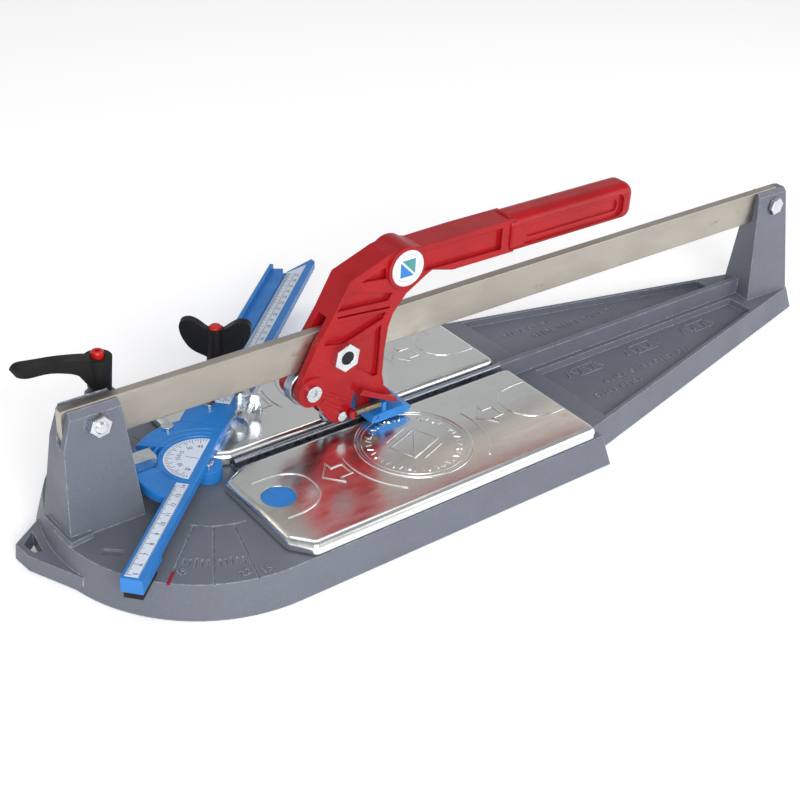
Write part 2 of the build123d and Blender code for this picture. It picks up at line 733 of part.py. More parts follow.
wing_plane = Plane(origin=fence_plane.from_local_coords((*knob_spot, 0)),
                   x_dir=(cos(radians(wing_heading)), sin(radians(wing_heading)), 0),
                   z_dir=(sin(radians(wing_heading)), -cos(radians(wing_heading)), 0))
wing_curve = ((3, 62), (8.5, 64.5), (16.6, 69), (22, 76), (24.8, 84), (24.2, 89.5), (18.5, 92), (12, 89.5),
              (7.5, 86), (5.2, 84.4), (3, 84))
with BuildPart() as wing_knob:
    with BuildSketch(at_knob(knob_base)):
        Circle(7.0)
    extrude(amount=knob_height, taper=2)
    for side in (-1, 1):
        with BuildSketch(wing_plane.offset(-wing_thick / 2)):
            with BuildLine():
                Spline(*[(side * x, z) for x, z in wing_curve])
                Line((side * wing_curve[-1][0], wing_curve[-1][1]),
                     (side * wing_curve[0][0], wing_curve[0][1]))
            make_face()
        extrude(amount=wing_thick)
    with BuildSketch(at_knob(knob_base - 1)):
        Circle(knob_stud_r)
    extrude(amount=30, mode=Mode.SUBTRACT)
save(wing_knob.part, "wing_knob")

with BuildPart() as wing_knob_cap:
    with BuildSketch(at_knob(knob_base + knob_height)):
        Circle(cap_r)
    extrude(amount=2.4)
    fillet(wing_knob_cap.faces().sort_by(Axis.Z)[-1].edges(), 2.0)
save(wing_knob_cap.part, "wing_knob_cap")

with BuildPart() as wing_knob_stud:
    with BuildSketch(at_knob(fence_bottom)):
        Circle(knob_stud_r)
    extrude(amount=knob_base + 29 - fence_bottom)
save(wing_knob_stud.part, "wing_knob_stud")

with BuildPart() as wing_spacer:
    with BuildSketch(at_knob(fence_top)):
        Circle(5.2)
        Circle(knob_stud_r + bore_gap, mode=Mode.SUBTRACT)
    extrude(amount=knob_base - 0.3 - fence_top)
save(wing_spacer.part, "wing_knob_spacer")

# ================================================================ clamping lever
# underside and top of the lever's arm, as (distance from its stud, height)
lever_under = ((-2, 108), (-9.4, 113.5), (-13.2, 120.3), (-23.5, 126.6), (-36, 130), (-49, 131.3),
               (-53.5, 134))
lever_over = ((-53.5, 134), (-50.5, 137.3), (-44, 137.2), (-29, 135.2), (-12, 131.8), (-2, 129.1))
with BuildPart() as clamp_lever:
    with Locations((lever_x, lever_y, lever_seat_z + 0.3)):
        Cylinder(7.3, 4, align=(Align.CENTER, Align.CENTER, Align.MIN))
    with BuildSketch(Plane.XY.offset(lever_seat_z + 4.3)):
        with Locations((lever_x, lever_y)):
            Circle(7.3)
    extrude(amount=22, taper=-4)
    with BuildSketch(Plane.XZ.offset(-lever_y)):
        with BuildLine():
            Spline(*[(lever_x + x, z) for x, z in lever_under])
            Spline(*[(lever_x + x, z) for x, z in lever_over])
            Line((lever_x - 2, lever_over[-1][1]), (lever_x - 2, lever_under[0][1]))
        make_face()
    extrude(amount=5, both=True)
    with Locations((lever_x, lever_y, 130)):
        Cylinder(4.4, 9, align=(Align.CENTER, Align.CENTER, Align.MAX), mode=Mode.SUBTRACT)
    with Locations((lever_x, lever_y, 100)):
        Cylinder(lever_stud_r, 16, align=(Align.CENTER, Align.CENTER, Align.MIN), mode=Mode.SUBTRACT)
save(clamp_lever.part, "clamp_lever")

with BuildPart() as lever_button:
    with Locations((lever_x, lever_y, 125)):
        Cylinder(4.0, 8, align=(Align.CENTER, Align.CENTER, Align.MIN))
    fillet(lever_button.faces().sort_by(Axis.Z)[-1].edges(), 1.2)
    with BuildSketch(Plane.XY.offset(131)):
        with Locations((lever_x, lever_y)):
            RegularPolygon(1.9, 6)
    extrude(amount=3, mode=Mode.SUBTRACT)
save(lever_button.part, "lever_button")

with BuildPart() as lever_stud:
    with Locations((lever_x, lever_y, 47.3)):
        Cylinder(lever_stud_r, 116 - 47.3, align=(Align.CENTER, Align.CENTER, Align.MIN))
save(lever_stud.part, "lever_stud")

with BuildPart() as clamp_shoe:
    with Locations(((shoe_start + shoe_end) / 2, shoe_y, shoe_bottom)):
        Box(shoe_end - shoe_start, shoe_wide, 7, align=(Align.CENTER, Align.CENTER, Align.MIN))
    chamfer(clamp_shoe.edges().filter_by(Axis.Z), 1.5)
save(clamp_shoe.part, "clamp_shoe")

# ================================================================ push handle


def handle_profile():
    """Side view of the casting, from the roller boss round the knee to the neck and down the inner side."""
    with BuildLine() as outline:
        Polyline((-96.2, 70), (-96.0, 76), (-91.5, 87), (-82.5, 105), (-70, 123.8), (-57, 147), (-26, 158.5),
                 (-11, 161.4), (2, 157.5), (40, neck_top), (grip_start + 6, neck_top),
                 (grip_start + 6, neck_bottom), (30, 133.2), (12, 138), (7, 135.5), (-9.5, 125.8),
                 (-20.0, 113.7), (-23.5, 104.5), (-26, 87), (-27, 68), (-25, 58), (-17, 48.5), (-17, 45),
                 (-20, 46), (-30, 51), (-44, 58), (-50, 61), (-53, 52), (-53, 44.5), (-55.4, 42),
                 (-61, 39.8), (-67, 41.5), (-71, 45), (-80, 60), (-93, 64), (-96.2, 70))
    make_face(outline.edges())


with BuildPart() as handle_casting:
    with BuildSketch(Plane.XZ):
        handle_profile()
    extrude(amount=handle_half, both=True)
    with BuildSketch(Plane.XZ):
        with Locations((hub_x, hub_z)):
            Circle(hub_r)
    extrude(amount=handle_half + 1.8, both=True)
    with BuildSketch(Plane.XZ):
        with Locations((roller_x, roller_z)):
            Circle(11.0)
    extrude(amount=handle_half + 1.5, both=True)
    # shelf that spreads out above the breaker foot, and two raised ribs below the knee
    with BuildSketch(Plane.XZ):
        Polygon((-50, 61.2), (-47, 64.5), (-30, 55), (-18, 49), (-17, 45), (-20, 46), (-30, 51), align=None)
    extrude(amount=shelf_half, both=True)
    for start, end in (((-78, 62), (-62, 50)), ((-81, 71), (-58, 56))):
        with BuildSketch(Plane.XZ):
            Polygon(start, (start[0] + 1.5, start[1] + 2), (end[0] + 1.5, end[1] + 2), end, align=None)
        extrude(amount=handle_half + 0.8, both=True)
    # slot that straddles the bar, rollers and scoring wheel
    with BuildSketch(Plane.XZ):
        Polygon((-110, slot_roof), (0, slot_roof), (0, 58), (-36, 58), (-48, 52), (-48, 30), (-110, 30),
                align=None)
    extrude(amount=slot_half, both=True, mode=Mode.SUBTRACT)
    with Locations(Location((upper_roller_x, 0, upper_roller_z), (90, 0, 0))):
        Cylinder(upper_roller_r + 1.5, 2 * slot_half, mode=Mode.SUBTRACT)
    # lug for the breaker foot and the stub that its spring hooks on
    with Locations((foot_pin_x, 0, foot_pin_z - 2.6)):
        Box(8, 2 * lug_half, 19, align=(Align.CENTER, Align.CENTER, Align.MIN))
    with Locations((-54.5, -13.4, spring_z)):
        Box(3, 6.2, 6.4)
    with Locations(Location((foot_pin_x, 0, foot_pin_z), (90, 0, 0))):
        Cylinder(foot_pin_r, 12, mode=Mode.SUBTRACT)
    # bores for the axles and the guide bush
    for x, z, r, reach in ((roller_x, roller_z, axle_r + running_gap, 60),
                           (wheel_x, wheel_z, wheel_pin_r, 60), (bush_x, bush_z, bush_r, 60)):
        with Locations(Location((x, 0, z), (90, 0, 0))):
            Cylinder(r, reach, mode=Mode.SUBTRACT)
    with Locations(Location((upper_roller_x, 2.5, upper_roller_z), (90, 0, 0))):
        Cylinder(3.0, 16, mode=Mode.SUBTRACT)
    # lightening pockets on both sides, with webs left between them
    for side in (-1, 1):
        with BuildSketch(Plane.XZ.offset(-side * handle_half)):
            Polygon((-48, 144), (-28, 150), (-27, 141.5), align=None)
            Polygon((-55.5, 139.5), (-21, 129.5), (-24.5, 124.5), (-66.5, 127.5), align=None)
            Polygon((-66, 123.8), (-23, 119.7), (-23, 118.2), (-66, 122.3), align=None)
            Polygon((-67.5, 119.8), (-26, 116.2), (-28.5, 111.8), (-61, 101.8), (-76.5, 105), align=None)
            Polygon((-29.5, 107.5), (-31, 68), (-35, 68.5), (-48.5, 80), (-47.5, 98), align=None)
            Polygon((4, 138.5), (4, 154), (grip_start - 6, 154), (grip_start - 6, 137.5), (14, 138.5),
                    align=None)
        extrude(amount=side * pocket_deep, mode=Mode.SUBTRACT)
save(handle_casting.part, "handle_casting")

# ---------------------------------------------------------------- grip on the end of the neck
with BuildPart() as handle_grip:
    with BuildSketch(Plane.YZ.offset(grip_start + 1)):
        with Locations((0, grip_z)):
            RectangleRounded(grip_thick, grip_height, grip_corner)
    extrude(amount=grip_end - grip_start - 1)
    fillet(handle_grip.faces().sort_by(Axis.X)[-1].edges(), grip_corner - 0.6)
    fillet(handle_grip.faces().sort_by(Axis.X)[0].edges(), 2.0)
    # long stepped flutes on both sides
    for side in (-1, 1):
        for high, deep, shorter in ((18.0, 2.5, 24), (9.0, 4.0, 34)):
            with BuildSketch(Plane.XZ.offset(-side * grip_thick / 2)):
                with Locations(((grip_start + grip_end) / 2, grip_z)):
                    RectangleRounded(grip_end - grip_start - shorter, high, high / 3)
            extrude(amount=side * deep, mode=Mode.SUBTRACT)
    # socket over the neck
    with BuildSketch(Plane.YZ.offset(grip_start)):
        with Locations((0, (neck_bottom + neck_top) / 2)):
            Rectangle(2 * handle_half, neck_top - neck_bottom)
    extrude(amount=6, mode=Mode.SUBTRACT)
save(handle_grip.part, "handle_grip")

with BuildPart() as hub_badge:
    for side in (-1, 1):
        with BuildSketch(Plane.XZ.offset(-side * (handle_half + 1.8))):
            with Locations((hub_x, hub_z)):
                Circle(hub_r - 3.2)
        extrude(amount=-side * 0.4)
save(hub_badge.part, "hub_badges")


def ring(name, x, z, outer, inner, wide):
    """Bearing ring or roller lying across the bar, with its edges broken."""
    with BuildPart() as race:
        with BuildSketch(Plane.XZ):
            with Locations((x, z)):
                Circle(outer)
                Circle(inner, mode=Mode.SUBTRACT)
        extrude(amount=wide / 2, both=True)
        chamfer(race.edges().filter_by(GeomType.CIRCLE).group_by(SortBy.RADIUS)[-1], 0.6)
    save(race.part, name)


# ---------------------------------------------------------------- rollers that carry the handle on the bar
ring("front_roller", roller_x, roller_z, roller_r, axle_r + 4, roller_wide)
ring("upper_roller", upper_roller_x, upper_roller_z, upper_roller_r, 5.5, 6.0)

with BuildPart() as roller_axle:
    # inner race, shaft and its socket-head screw on the near side
    with BuildSketch(Plane.XZ):
        with Locations((roller_x, roller_z)):
            Circle(axle_r + 4 - running_gap)
    extrude(amount=roller_wide / 2, both=True)
    with BuildSketch(Plane.XZ.offset(-handle_half - 2)):
        with Locations((roller_x, roller_z)):
            Circle(axle_r)
    extrude(amount=2 * handle_half + 4)
    for side in (-1, 1):
        with BuildSketch(Plane.XZ.offset(-side * (handle_half + 1.8))):
            with Locations((roller_x, roller_z)):
                Circle(5.8)
        extrude(amount=-side * 2.2)
    with BuildSketch(Plane.XZ.offset(handle_half + 2.6)):
        with Locations((roller_x, roller_z)):
            RegularPolygon(2.7, 6)
    extrude(amount=3, mode=Mode.SUBTRACT)
save(roller_axle.part, "front_roller_axle")

with BuildPart() as upper_axle:
    with BuildSketch(Plane.XZ.offset(-10)):
        with Locations((upper_roller_x, upper_roller_z)):
            Circle(3.0)
    extrude(amount=15)
    with BuildSketch(Plane.XZ):
        with Locations((upper_roller_x, upper_roller_z)):
            Circle(5.5 - running_gap)
    extrude(amount=3, both=True)
save(upper_axle.part, "upper_roller_axle")

# ---------------------------------------------------------------- scoring wheel
with BuildPart() as scoring_wheel:
    with BuildSketch(Plane.XZ):
        with Locations((wheel_x, wheel_z)):
            Circle(wheel_r)
    extrude(amount=1.6, both=True)
    chamfer(scoring_wheel.edges().filter_by(GeomType.CIRCLE).group_by(SortBy.RADIUS)[-1], 1.4)
    with BuildSketch(Plane.XZ):
        with Locations((wheel_x, wheel_z)):
            Circle(5.0)
    extrude(amount=slot_half - 0.3, both=True)
    with BuildSketch(Plane.XZ):
        with Locations((wheel_x, wheel_z)):
            Circle(wheel_pin_r + running_gap)
    extrude(amount=slot_half, both=True, mode=Mode.SUBTRACT)
save(scoring_wheel.part, "scoring_wheel")

with BuildPart() as wheel_pin:
    with BuildSketch(Plane.XZ.offset(-handle_half - 1)):
        with Locations((wheel_x, wheel_z)):
            Circle(wheel_pin_r)
    extrude(amount=2 * handle_half + 2)
    with BuildSketch(Plane.XZ.offset(handle_half + 0.2)):
        with Locations((wheel_x, wheel_z)):
            Circle(3.6)
    extrude(amount=2)
save(wheel_pin.part, "scoring_wheel_pin")

# ---------------------------------------------------------------- side guides that take up play on the bar
with BuildPart() as guide_bushes:
    for side in (-1, 1):
        with BuildSketch(Plane.XZ.offset(-side * slot_half)):
            with Locations((bush_x, bush_z)):
                Circle(bush_r)
                Circle(pad_r, mode=Mode.SUBTRACT)
        extrude(amount=-side * (handle_half - slot_half))
        with BuildSketch(Plane.XZ.offset(-side * handle_half)):
            with Locations((bush_x, bush_z)):
                RegularPolygon(9.0, 6, major_radius=False, rotation=20)
                Circle(pad_r, mode=Mode.SUBTRACT)
        extrude(amount=-side * 5.0)
save(guide_bushes.part, "guide_bushes")

with BuildPart() as guide_pads:
    for side in (-1, 1):
        with BuildSketch(Plane.XZ.offset(-side * (bar_thick / 2 + 0.25))):
            with Locations((bush_x, bush_z)):
                Circle(pad_r)
        extrude(amount=-side * (handle_half + 3 - bar_thick / 2))
save(guide_pads.part, "guide_pads")

# ---------------------------------------------------------------- breaker foot with its pin and spring
with BuildPart() as breaker_foot:
    with BuildSketch(Plane.XZ):
        Polygon((-40, 35.6), (-38, 40.6), (-28, 41.2), (-12, 41.6), (-5, 38.2), (-9, foot_bottom),
                (-36, foot_bottom), align=None)
    extrude(amount=foot_half, both=True)
    # straddle slot over the handle's lug
    with Locations((-35, 0, 38)):
        Box(22, 2 * lug_half + 0.8, 14, mode=Mode.SUBTRACT)
    with Locations(Location((foot_pin_x, 0, foot_pin_z), (90, 0, 0))):
        Cylinder(foot_pin_r + running_gap, 60, mode=Mode.SUBTRACT)
    # tab that the spring hooks on
    with Locations((-28.5, spring_y, 38)):
        Box(3, 6, 10.4, align=(Align.CENTER, Align.CENTER, Align.MIN))
save(breaker_foot.part, "breaker_foot")

with BuildPart() as foot_pin:
    with Locations(Location((foot_pin_x, 0, foot_pin_z), (90, 0, 0))):
        Cylinder(foot_pin_r, 2 * foot_half - 3)
save(foot_pin.part, "breaker_foot_pin")

with BuildPart() as foot_spring:
    with BuildLine() as spring_path:
        Helix(1.35, spring_length, 2.3, center=(spring_start, spring_y, spring_z), direction=(1, 0, 0))
    with BuildSketch(Plane(origin=spring_path.wire() @ 0, z_dir=spring_path.wire() % 0)):
        Circle(spring_wire)
    sweep(is_frenet=True)
save(foot_spring.part, "breaker_foot_spring")
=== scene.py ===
"""Looks of a manual tile cutter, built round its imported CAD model.

All positions are in the row frame.  Shapes are drawn in millimetres and are turned into metres by MM.
"""

import json
from math import cos, hypot, pi, radians, sin

import bmesh
import bpy
from mathutils import Matrix, Vector


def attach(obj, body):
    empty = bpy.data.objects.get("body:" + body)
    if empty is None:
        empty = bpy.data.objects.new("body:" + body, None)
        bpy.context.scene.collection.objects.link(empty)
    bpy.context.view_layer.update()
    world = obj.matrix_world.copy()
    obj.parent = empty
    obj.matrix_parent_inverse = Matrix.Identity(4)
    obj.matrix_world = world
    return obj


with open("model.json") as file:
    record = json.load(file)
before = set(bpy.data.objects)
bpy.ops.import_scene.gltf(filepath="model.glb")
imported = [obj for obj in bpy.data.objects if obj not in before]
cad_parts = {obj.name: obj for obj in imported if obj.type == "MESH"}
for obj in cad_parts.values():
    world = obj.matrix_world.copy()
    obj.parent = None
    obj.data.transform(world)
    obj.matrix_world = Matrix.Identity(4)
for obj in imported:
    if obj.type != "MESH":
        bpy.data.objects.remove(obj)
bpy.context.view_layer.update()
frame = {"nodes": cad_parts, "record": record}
scene = bpy.context.scene

MM = 0.001
# heights and places of the CAD surfaces that the relief and the prints lie on
DECK = 23.2
TAIL_FLOOR = 13.5
PLATE_TOP = 32.5
FENCE_TOP = 39.5
LABEL_TOP = 39.8
PIVOT = (-158.0, 3.0)
FENCE_TURN = radians(42.5)
DIAL_CENTRE = (-3.0, 4.7)        # on the fence, along and left of its pivot
HUB_CENTRE = (-11.0, 146.0)      # x and z of the handle's hub
HUB_FACE = 12.72
# pressed plates
EMBLEM = (-27.0, -50.0)
EMBLEM_RADIUS = 40.0
EMBLEM_INNER = 36.6
EMBLEM_MARK_RADIUS = 31.5
EMBLEM_MARKS = 40
EMBLEM_TILT = radians(20)
SIDE_ARC_RADIUS = 52.5
ARROW_SHIFT = -131.5             # from the right-hand arrow to the left-hand one
ARROW = ((29.5, -49.5), (39.5, -37.5), (39.5, -43.5), (48.5, -43.5), (48.5, -55.5), (39.5, -55.5),
         (39.5, -61.5))
OPEN_LOOP = ((91, -29.5), (78, -29.8), (66, -32.5), (58, -40), (56, -50), (58, -60), (66, -69), (78, -73.2),
             (91, -73.6))
# cast and painted marks on the deck: distances from the fence's pivot
FIGURE_REACH = 99
RED_MARK_REACH = 100
# printed scales: how far the ink is sunk into the strip and stands off it
INK_LOW = LABEL_TOP - 0.02
INK_HIGH = LABEL_TOP + 0.05


# ------------------------------------------------------------------ node materials
class Shader:
    """One Principled material and the small node chains that feed it."""

    def __init__(self, name, color, rough, metal=0.0, coat=0.0, coat_rough=0.05, specular=0.5):
        self.mat = bpy.data.materials.new(name)
        self.mat.use_nodes = True
        self.nodes = self.mat.node_tree.nodes
        self.links = self.mat.node_tree.links
        self.bsdf = self.nodes["Principled BSDF"]
        self.color = (*color, 1.0)
        self.bsdf.inputs["Base Color"].default_value = self.color
        self.bsdf.inputs["Roughness"].default_value = rough
        self.bsdf.inputs["Metallic"].default_value = metal
        self.bsdf.inputs["Coat Weight"].default_value = coat
        self.bsdf.inputs["Coat Roughness"].default_value = coat_rough
        self.bsdf.inputs["Specular IOR Level"].default_value = specular
        self.mat.diffuse_color = self.color
        self.coords = self.node("ShaderNodeTexCoord").outputs["Object"]
        self.normal = None

    def node(self, kind, **inputs):
        made = self.nodes.new(kind)
        for key, value in inputs.items():
            made.inputs[key.replace("_", " ")].default_value = value
        return made

    def join(self, out, into):
        self.links.new(out, into)

    def noise(self, scale, detail=3.0, stretch=(1, 1, 1), rough=0.55, distort=0.0):
        """Noise in metres: scale is features per metre along each stretched axis."""
        place = self.node("ShaderNodeMapping")
        place.inputs["Scale"].default_value = stretch
        made = self.node("ShaderNodeTexNoise", Scale=scale, Detail=detail, Roughness=rough, Distortion=distort)
        self.join(self.coords, place.inputs["Vector"])
        self.join(place.outputs["Vector"], made.inputs["Vector"])
        return made.outputs["Fac"]

    def ramp(self, value, low, high, to_low=0.0, to_high=1.0):
        """Value from low..high mapped on to_low..to_high, clamped."""
        made = self.node("ShaderNodeMapRange")
        made.inputs["From Min"].default_value = low
        made.inputs["From Max"].default_value = high
        made.inputs["To Min"].default_value = to_low
        made.inputs["To Max"].default_value = to_high
        self.join(value, made.inputs["Value"])
        return made.outputs["Result"]

    def tint(self, mask, color):
        """Mixes another colour over the base where mask is 1."""
        mix = self.node("ShaderNodeMix")
        mix.data_type = "RGBA"
        target = self.bsdf.inputs["Base Color"]
        # sockets 6 and 7 are the colour inputs of a Mix node, 2 its colour output
        if target.is_linked:
            self.join(target.links[0].from_socket, mix.inputs[6])
        else:
            mix.inputs[6].default_value = self.color
        mix.inputs[7].default_value = (*color, 1.0)
        self.join(mask, mix.inputs["Factor"])
        self.join(mix.outputs[2], target)

    def vary_rough(self, value, low, high):
        self.join(self.ramp(value, 0.3, 0.7, low, high), self.bsdf.inputs["Roughness"])

    def soften(self, radius):
        """Rounds the look of sharp edges and returns a mask that is 1 on them."""
        bevel = self.node("ShaderNodeBevel", Radius=radius)
        bevel.samples = 4
        self.normal = bevel.outputs["Normal"]
        self.join(self.normal, self.bsdf.inputs["Normal"])
        true = self.node("ShaderNodeNewGeometry").outputs["Normal"]
        dot = self.node("ShaderNodeVectorMath")
        dot.operation = "DOT_PRODUCT"
        self.join(self.normal, dot.inputs[0])
        self.join(true, dot.inputs[1])
        return self.ramp(dot.outputs["Value"], 0.995, 0.90)

    def bump(self, height, distance, strength=1.0):
        made = self.node("ShaderNodeBump", Strength=strength, Distance=distance)
        self.join(height, made.inputs["Height"])
        if self.normal is not None:
            self.join(self.normal, made.inputs["Normal"])
        self.normal = made.outputs["Normal"]
        self.join(self.normal, self.bsdf.inputs["Normal"])


def base_paint():
    s = Shader("base_paint", (0.128, 0.142, 0.176), 0.46, coat=0.06, coat_rough=0.35, specular=0.4)
    edge = s.soften(0.0009)
    patch = s.noise(28, 4)
    s.tint(s.ramp(patch, 0.35, 0.75, 0.0, 0.45), (0.098, 0.106, 0.128))
    fleck = s.noise(1500, 2)
    s.tint(s.ramp(fleck, 0.60, 0.72, 0.0, 0.4), (0.26, 0.29, 0.35))
    s.tint(s.ramp(fleck, 0.36, 0.28, 0.0, 0.55), (0.05, 0.055, 0.07))
    # lighter colour on the edges, broken up by noise: partly paint worn thin, partly painted highlight
    wear_and_highlight = s.node("ShaderNodeMath")
    wear_and_highlight.operation = "MULTIPLY"
    s.join(edge, wear_and_highlight.inputs[0])
    s.join(s.ramp(s.noise(260, 4), 0.38, 0.62, 0.2, 0.95), wear_and_highlight.inputs[1])
    s.tint(wear_and_highlight.outputs[0], (0.46, 0.50, 0.57))
    s.vary_rough(patch, 0.40, 0.54)
    s.bump(s.noise(820, 3, rough=0.6), 0.00022, 0.8)
    s.bump(s.noise(120, 2), 0.0003, 0.25)
    return s.mat


def bright_sheet():
    s = Shader("bright_sheet", (0.82, 0.84, 0.825), 0.20, metal=1.0)
    s.soften(0.0006)
    cloud = s.noise(18, 4, distort=0.4)
    s.tint(s.ramp(cloud, 0.42, 0.72, 0.0, 0.4), (0.68, 0.695, 0.675))
    stain = s.noise(55, 5)
    s.tint(s.ramp(stain, 0.64, 0.76, 0.0, 0.45), (0.40, 0.33, 0.28))
    s.vary_rough(s.noise(40, 5, stretch=(1, 6, 1)), 0.15, 0.27)
    s.bump(s.noise(11, 2), 0.0012, 0.35)
    s.bump(s.noise(300, 3, stretch=(1, 14, 1)), 0.00003, 0.5)
    return s.mat


def bar_nickel():
    s = Shader("bar_nickel", (0.47, 0.435, 0.385), 0.32, metal=1.0)
    edge = s.soften(0.0005)
    s.tint(s.ramp(s.noise(16, 4, stretch=(1, 1, 2)), 0.45, 0.75, 0.0, 0.6), (0.34, 0.31, 0.27))
    s.tint(s.ramp(s.noise(70, 4, stretch=(1, 1, 1.4)), 0.66, 0.76, 0.0, 0.55), (0.20, 0.17, 0.14))
    # painted highlight: lighter colour along the edges
    s.tint(s.ramp(edge, 0.0, 1.0, 0.0, 0.5), (0.60, 0.57, 0.52))
    s.vary_rough(s.noise(45, 4, stretch=(1, 1, 3)), 0.28, 0.46)
    s.bump(s.noise(240, 4, stretch=(1, 10, 14)), 0.00002, 0.5)
    return s.mat


def polished(name, color, rough):
    """Smooth plated or ground steel with a faint cloudiness."""
    s = Shader(name, color, rough, metal=1.0)
    s.soften(0.0004)
    s.tint(s.ramp(s.noise(160, 4), 0.45, 0.70, 0.0, 0.45), tuple(0.62 * c for c in color))
    s.vary_rough(s.noise(220, 4), rough * 0.7, rough * 1.5)
    s.bump(s.noise(900, 3), 0.00001, 0.4)
    return s.mat


def red_enamel():
    s = Shader("red_enamel", (0.36, 0.004, 0.008), 0.30, coat=0.15, coat_rough=0.10, specular=0.2)
    edge = s.soften(0.0011)
    s.tint(s.ramp(s.noise(35, 4), 0.4, 0.7, 0.0, 0.6), (0.24, 0.002, 0.005))
    # lighter red on the edges, broken up by noise: partly worn enamel, partly painted highlight
    wear_and_highlight = s.node("ShaderNodeMath")
    wear_and_highlight.operation = "MULTIPLY"
    s.join(edge, wear_and_highlight.inputs[0])
    s.join(s.ramp(s.noise(180, 3), 0.45, 0.7, 0.0, 0.6), wear_and_highlight.inputs[1])
    s.tint(wear_and_highlight.outputs[0], (0.55, 0.05, 0.045))
    s.vary_rough(s.noise(60, 4), 0.26, 0.40)
    s.bump(s.noise(230, 3), 0.00045, 0.35)
    s.bump(s.noise(1100, 2), 0.0001, 0.3)
    return s.mat


def plastic(name, color, rough, coat=0.0, grain=0.00006, scale=1500, shade=0.75, edge_highlight=0.25, shine=0.4):
    s = Shader(name, color, rough, coat=coat, specular=shine)
    edge = s.soften(0.0007)
    s.tint(s.ramp(s.noise(45, 3), 0.4, 0.7, 0.0, 0.6), tuple(shade * c for c in color))
    # painted highlight: lighter colour along the edges
    s.tint(s.ramp(edge, 0.0, 1.0, 0.0, edge_highlight), tuple(min(1.0, 1.5 * c + 0.02) for c in color))
    s.vary_rough(s.noise(90, 4), rough * 0.8, rough * 1.25)
    s.bump(s.noise(scale, 2), grain, 0.6)
    return s.mat


def spring_wire(name, color):
    s = Shader(name, color, 0.34, metal=1.0)
    s.tint(s.ramp(s.noise(400, 3), 0.4, 0.65, 0.0, 0.6), tuple(0.45 * c for c in color))
    s.vary_rough(s.noise(500, 3), 0.25, 0.45)
    s.bump(s.noise(1600, 2), 0.00003, 0.5)
    return s.mat


MAT = {
    "base_paint": base_paint(),
    "bright_sheet": bright_sheet(),
    "bar_nickel": bar_nickel(),
    "zinc_steel": polished("zinc_steel", (0.70, 0.73, 0.76), 0.22),
    "hard_steel": polished("hard_steel", (0.40, 0.44, 0.50), 0.30),
    "red_enamel": red_enamel(),
    "blue_plastic": plastic("blue_plastic", (0.018, 0.190, 0.560), 0.34, coat=0.10, grain=0.0001, scale=500),
    "scale_white": plastic("scale_white", (0.62, 0.69, 0.80), 0.40, shade=0.86),
    "black_plastic": plastic("black_plastic", (0.007, 0.007, 0.008), 0.50, grain=0.00012, scale=1300,
                             shade=0.6, edge_highlight=0.15, shine=0.22),
    "red_plastic": plastic("red_plastic", (0.48, 0.008, 0.008), 0.28, coat=0.2),
    "rubber": plastic("rubber", (0.015, 0.015, 0.016), 0.75, grain=0.0001, shine=0.2),
    "badge": plastic("badge", (0.70, 0.71, 0.72), 0.30, coat=0.3, shade=0.93),
    "slide_plastic": plastic("slide_plastic", (0.012, 0.012, 0.014), 0.5, shine=0.25),
    "spring_steel": spring_wire("spring_steel", (0.50, 0.49, 0.47)),
    "bronze_spring": spring_wire("bronze_spring", (0.42, 0.33, 0.22)),
    "print_dark": plastic("print_dark", (0.020, 0.035, 0.08), 0.5, shade=0.8),
    "print_red": plastic("print_red", (0.30, 0.006, 0.010), 0.4),
    "print_teal": plastic("print_teal", (0.06, 0.28, 0.30), 0.4),
}

slot_of = {s["node"]: s["material_slot"] for s in frame["record"]["subparts"]}
for node, obj in frame["nodes"].items():
    obj.data.materials.clear()
    obj.data.materials.append(MAT[slot_of[node]])


# ------------------------------------------------------------------ mesh helpers
def piece(name, bm, body, mat, smooth_deg=35):
    """Turns a bmesh in millimetres into a named piece that rides on body."""
    mesh = bpy.data.meshes.new(name)
    bmesh.ops.scale(bm, vec=(MM, MM, MM), verts=bm.verts)
    bmesh.ops.recalc_face_normals(bm, faces=bm.faces)
    bm.to_mesh(mesh)
    bm.free()
    obj = bpy.data.objects.new(name, mesh)
    scene.collection.objects.link(obj)
    mesh.materials.append(MAT[mat])
    for poly in mesh.polygons:
        poly.use_smooth = True
    mesh.set_sharp_from_angle(angle=radians(smooth_deg))
    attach(obj, body)
    return obj


def as_given(x, y, h):
    """Leaves a point where it is, for shapes drawn in the row frame."""
    return (x, y, h)


def ridge(bm, path, width, height, z, closed=False, sink=0.12, sections=6, place=as_given):
    """Adds a half-round bead along a flat path of (x, y), standing on z."""
    count = len(path)
    rows = []
    for i, (x, y) in enumerate(path):
        if closed:
            before, after = path[i - 1], path[(i + 1) % count]
        else:
            before, after = path[max(i - 1, 0)], path[min(i + 1, count - 1)]
        dx, dy = after[0] - before[0], after[1] - before[1]
        length = hypot(dx, dy) or 1.0
        nx, ny = -dy / length, dx / length
        if closed or 0 < i < count - 1:
            # keep the bead's width at corners
            ax, ay = x - before[0], y - before[1]
            turn = abs(ax * nx + ay * ny) / (hypot(ax, ay) or 1.0)
            grow = min(1.0 / max((1 - turn * turn) ** 0.5, 0.5), 1.8)
        else:
            grow = 1.0
        row = []
        for k in range(sections + 1):
            t = pi * k / sections
            off = cos(t) * width / 2 * grow
            row.append(bm.verts.new(place(x + nx * off, y + ny * off, z - sink + sin(t) * (height + sink))))
        rows.append(row)
    last = count if closed else count - 1
    for i in range(last):
        a, b = rows[i], rows[(i + 1) % count]
        for k in range(sections):
            bm.faces.new((a[k], a[k + 1], b[k + 1], b[k]))
        bm.faces.new((a[sections], a[0], b[0], b[sections]))
    if not closed:
        bm.faces.new(rows[0])
        bm.faces.new(list(reversed(rows[-1])))


